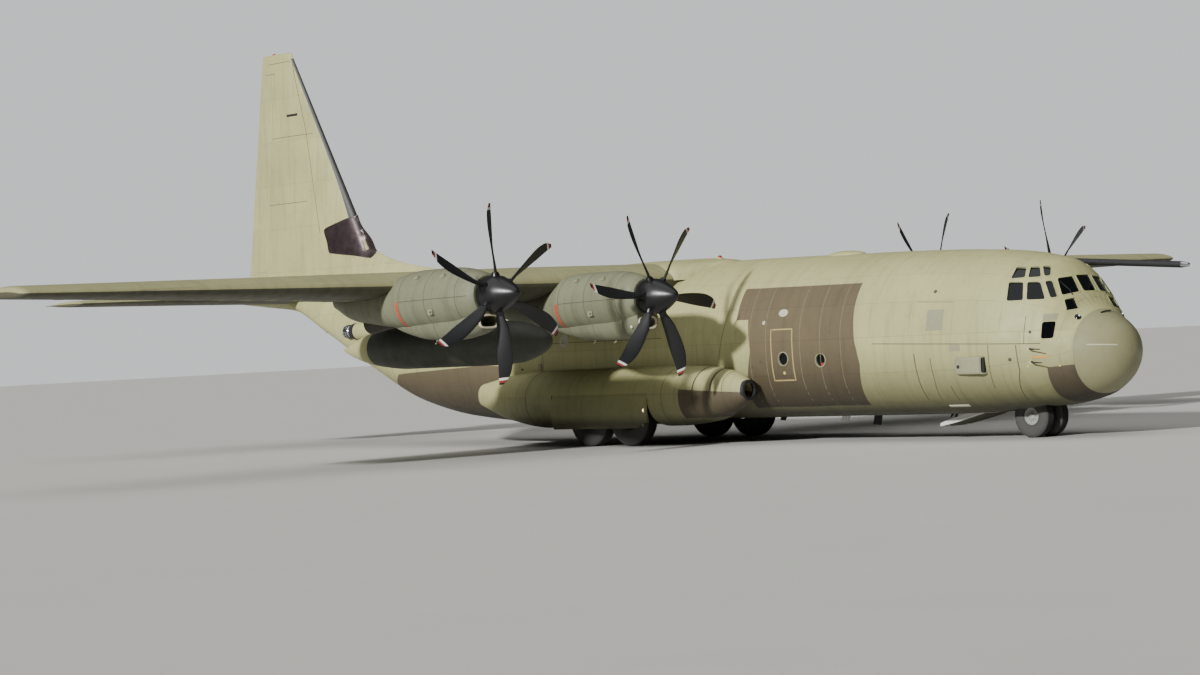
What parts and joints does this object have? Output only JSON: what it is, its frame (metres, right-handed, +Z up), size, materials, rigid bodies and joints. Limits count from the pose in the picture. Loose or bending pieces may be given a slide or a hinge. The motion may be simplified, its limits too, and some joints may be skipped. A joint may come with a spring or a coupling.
{
  "type": "military transport plane, half-size scale model",
  "caption": "High-wing four-turboprop transport aircraft on its wheels, with a hollow hold, rear ramp, turning propellers and moving control surfaces, at half size.",
  "frame": {"origin": "on the ground under the middle of the whole length and width", "axes": "+X forward to the nose, +Y to port, +Z up"},
  "size_m": [17.6712, 20.205, 5.92],
  "materials": {
    "skin_paint": "matte",
    "hollow_skin_paint": "matte",
    "radome_paint": "satin",
    "floor_metal": "satin",
    "window_glass": "gloss",
    "propeller_black": "satin",
    "probe_black": "satin",
    "engine_metal": "satin",
    "tyre": "matte",
    "wheel_metal": "satin",
    "gear_white": "satin",
    "bare_metal": "satin"
  },
  "bodies": {
    "airframe": {"fuselage_forward": "skin_paint", "fuselage_aft": "skin_paint", "nacelle_1": "skin_paint", "nacelle_4": "skin_paint", "nacelle_2": "skin_paint", "nacelle_3": "skin_paint", "fuselage_centre": "skin_paint", "radome": "radome_paint", "flight_deck": "floor_metal", "sponson_left": "hollow_skin_paint", "sponson_right": "hollow_skin_paint", "refuelling_probe": "probe_black", "cockpit_glazing": "window_glass", "fin": "hollow_skin_paint", "wing_centre": "hollow_skin_paint", "wing_outer_left": "hollow_skin_paint", "wing_outer_right": "hollow_skin_paint", "main_gear_legs_left": "gear_white", "main_gear_legs_right": "gear_white", "engine_2": "engine_metal", "engine_3": "engine_metal", "fuel_tank_left": "hollow_skin_paint", "fuel_tank_right": "hollow_skin_paint", "engine_1": "engine_metal", "engine_4": "engine_metal", "nose_gear_leg": "gear_white", "tailplane": "hollow_skin_paint", "main_gear_door_left": "skin_paint", "main_gear_door_right": "skin_paint", "cargo_floor": "floor_metal", "paratroop_door_left": "skin_paint", "paratroop_door_right": "skin_paint"},
    "propeller_1": {"propeller_1": "propeller_black"},
    "propeller_2": {"propeller_2": "propeller_black"},
    "propeller_3": {"propeller_3": "propeller_black"},
    "propeller_4": {"propeller_4": "propeller_black"},
    "nose_steering": {"nose_gear_fork": "bare_metal"},
    "nose_wheels": {"nose_wheel_rims": "wheel_metal", "nose_tyre_left": "tyre", "nose_tyre_right": "tyre"},
    "main_wheel_front_left": {"main_hub_front_left": "wheel_metal", "main_tyre_front_left": "tyre"},
    "main_wheel_front_right": {"main_hub_front_right": "wheel_metal", "main_tyre_front_right": "tyre"},
    "main_wheel_rear_left": {"main_hub_rear_left": "wheel_metal", "main_tyre_rear_left": "tyre"},
    "main_wheel_rear_right": {"main_hub_rear_right": "wheel_metal", "main_tyre_rear_right": "tyre"},
    "rudder": {"rudder": "hollow_skin_paint"},
    "elevators": {"elevator_left": "hollow_skin_paint", "elevator_right": "hollow_skin_paint"},
    "aileron_left": {"aileron_left": "hollow_skin_paint"},
    "aileron_right": {"aileron_right": "hollow_skin_paint"},
    "flap_inner_left": {"flap_inner_left": "hollow_skin_paint"},
    "flap_inner_right": {"flap_inner_right": "hollow_skin_paint"},
    "flap_outer_left": {"flap_outer_left": "hollow_skin_paint"},
    "flap_outer_right": {"flap_outer_right": "hollow_skin_paint"},
    "cargo_ramp": {"cargo_ramp": "skin_paint"},
    "cargo_door": {"cargo_door": "skin_paint"},
    "crew_door": {"crew_door": "skin_paint"}
  },
  "joints": [
    {"name": "propeller_1_spin", "type": "hinge", "parent": "airframe", "child": "propeller_1", "pos_m": [3.3, 4.9875, 1.95], "axis": [1, 0, 0], "continuous": true},
    {"name": "propeller_2_spin", "type": "hinge", "parent": "airframe", "child": "propeller_2", "pos_m": [3.3, 2.51, 1.855], "axis": [1, 0, 0], "continuous": true},
    {"name": "propeller_3_spin", "type": "hinge", "parent": "airframe", "child": "propeller_3", "pos_m": [3.3, -2.51, 1.855], "axis": [1, 0, 0], "continuous": true},
    {"name": "propeller_4_spin", "type": "hinge", "parent": "airframe", "child": "propeller_4", "pos_m": [3.3, -4.9875, 1.95], "axis": [1, 0, 0], "continuous": true},
    {"name": "nose_steering_turn", "type": "hinge", "parent": "airframe", "child": "nose_steering", "pos_m": [7, 0, 0.48], "axis": [0, 0, 1], "range_deg": [-60, 60]},
    {"name": "nose_wheel_roll", "type": "hinge", "parent": "nose_steering", "child": "nose_wheels", "pos_m": [7, 0, 0.2475], "axis": [0, 1, 0], "continuous": true},
    {"name": "main_wheel_front_left_roll", "type": "hinge", "parent": "airframe", "child": "main_wheel_front_left", "pos_m": [1.296, 1.085, 0.355], "axis": [0, 1, 0], "continuous": true},
    {"name": "main_wheel_front_right_roll", "type": "hinge", "parent": "airframe", "child": "main_wheel_front_right", "pos_m": [1.296, -1.085, 0.355], "axis": [0, 1, 0], "continuous": true},
    {"name": "main_wheel_rear_left_roll", "type": "hinge", "parent": "airframe", "child": "main_wheel_rear_left", "pos_m": [0.534, 1.085, 0.355], "axis": [0, 1, 0], "continuous": true},
    {"name": "main_wheel_rear_right_roll", "type": "hinge", "parent": "airframe", "child": "main_wheel_rear_right", "pos_m": [0.534, -1.085, 0.355], "axis": [0, 1, 0], "continuous": true},
    {"name": "rudder_hinge", "type": "hinge", "parent": "airframe", "child": "rudder", "pos_m": [-7.825, 0, 2.65], "axis": [0.1316, 0, 0.9913], "range_deg": [-35, 35]},
    {"name": "elevator_hinge", "type": "hinge", "parent": "airframe", "child": "elevators", "pos_m": [-7.54, 0, 2.24], "axis": [0, 1, 0], "range_deg": [-15, 40]},
    {"name": "aileron_left_hinge", "type": "hinge", "parent": "airframe", "child": "aileron_left", "pos_m": [0.29258, 6.175, 2.10698], "axis": [0.0989, 0.9949, 0.0195], "range_deg": [-20, 20]},
    {"name": "aileron_right_hinge", "type": "hinge", "parent": "airframe", "child": "aileron_right", "pos_m": [0.29258, -6.175, 2.10698], "axis": [-0.0989, 0.9949, -0.0195], "range_deg": [-20, 20]},
    {"name": "flap_inner_left_travel", "type": "hinge", "parent": "airframe", "child": "flap_inner_left", "pos_m": [0.00389, 1.15, 1.77359], "axis": [0, -1, 0], "range_deg": [0, 36]},
    {"name": "flap_inner_right_travel", "type": "hinge", "parent": "airframe", "child": "flap_inner_right", "pos_m": [0.00389, -1.15, 1.77359], "axis": [0, -1, 0], "range_deg": [0, 36]},
    {"name": "flap_outer_left_travel", "type": "hinge", "parent": "airframe", "child": "flap_outer_left", "pos_m": [0.00727, 2.83, 1.77458], "axis": [-0.0959, -0.9951, -0.0253], "range_deg": [0, 36]},
    {"name": "flap_outer_right_travel", "type": "hinge", "parent": "airframe", "child": "flap_outer_right", "pos_m": [0.00727, -2.83, 1.77458], "axis": [0.0959, -0.9951, 0.0253], "range_deg": [0, 36]},
    {"name": "cargo_ramp_hinge", "type": "hinge", "parent": "airframe", "child": "cargo_ramp", "pos_m": [-2.438, 0, 0.5075], "axis": [0, -1, 0], "range_deg": [0, 29]},
    {"name": "cargo_door_hinge", "type": "hinge", "parent": "airframe", "child": "cargo_door", "pos_m": [-5.785, 0, 1.6775], "axis": [0, -1, 0], "range_deg": [0, 24]},
    {"name": "crew_door_hinge", "type": "hinge", "parent": "airframe", "child": "crew_door", "pos_m": [6.655, 0.754, 0.458], "axis": [-1, 0, 0], "range_deg": [0, 100]}
  ],
  "couplings": [
    {"joint": "aileron_right_hinge", "follows": "aileron_left_hinge", "ratio": -1},
    {"joint": "flap_inner_right_travel", "follows": "flap_inner_left_travel", "ratio": 1},
    {"joint": "flap_outer_left_travel", "follows": "flap_inner_left_travel", "ratio": 1},
    {"joint": "flap_outer_right_travel", "follows": "flap_inner_left_travel", "ratio": 1}
  ]
}
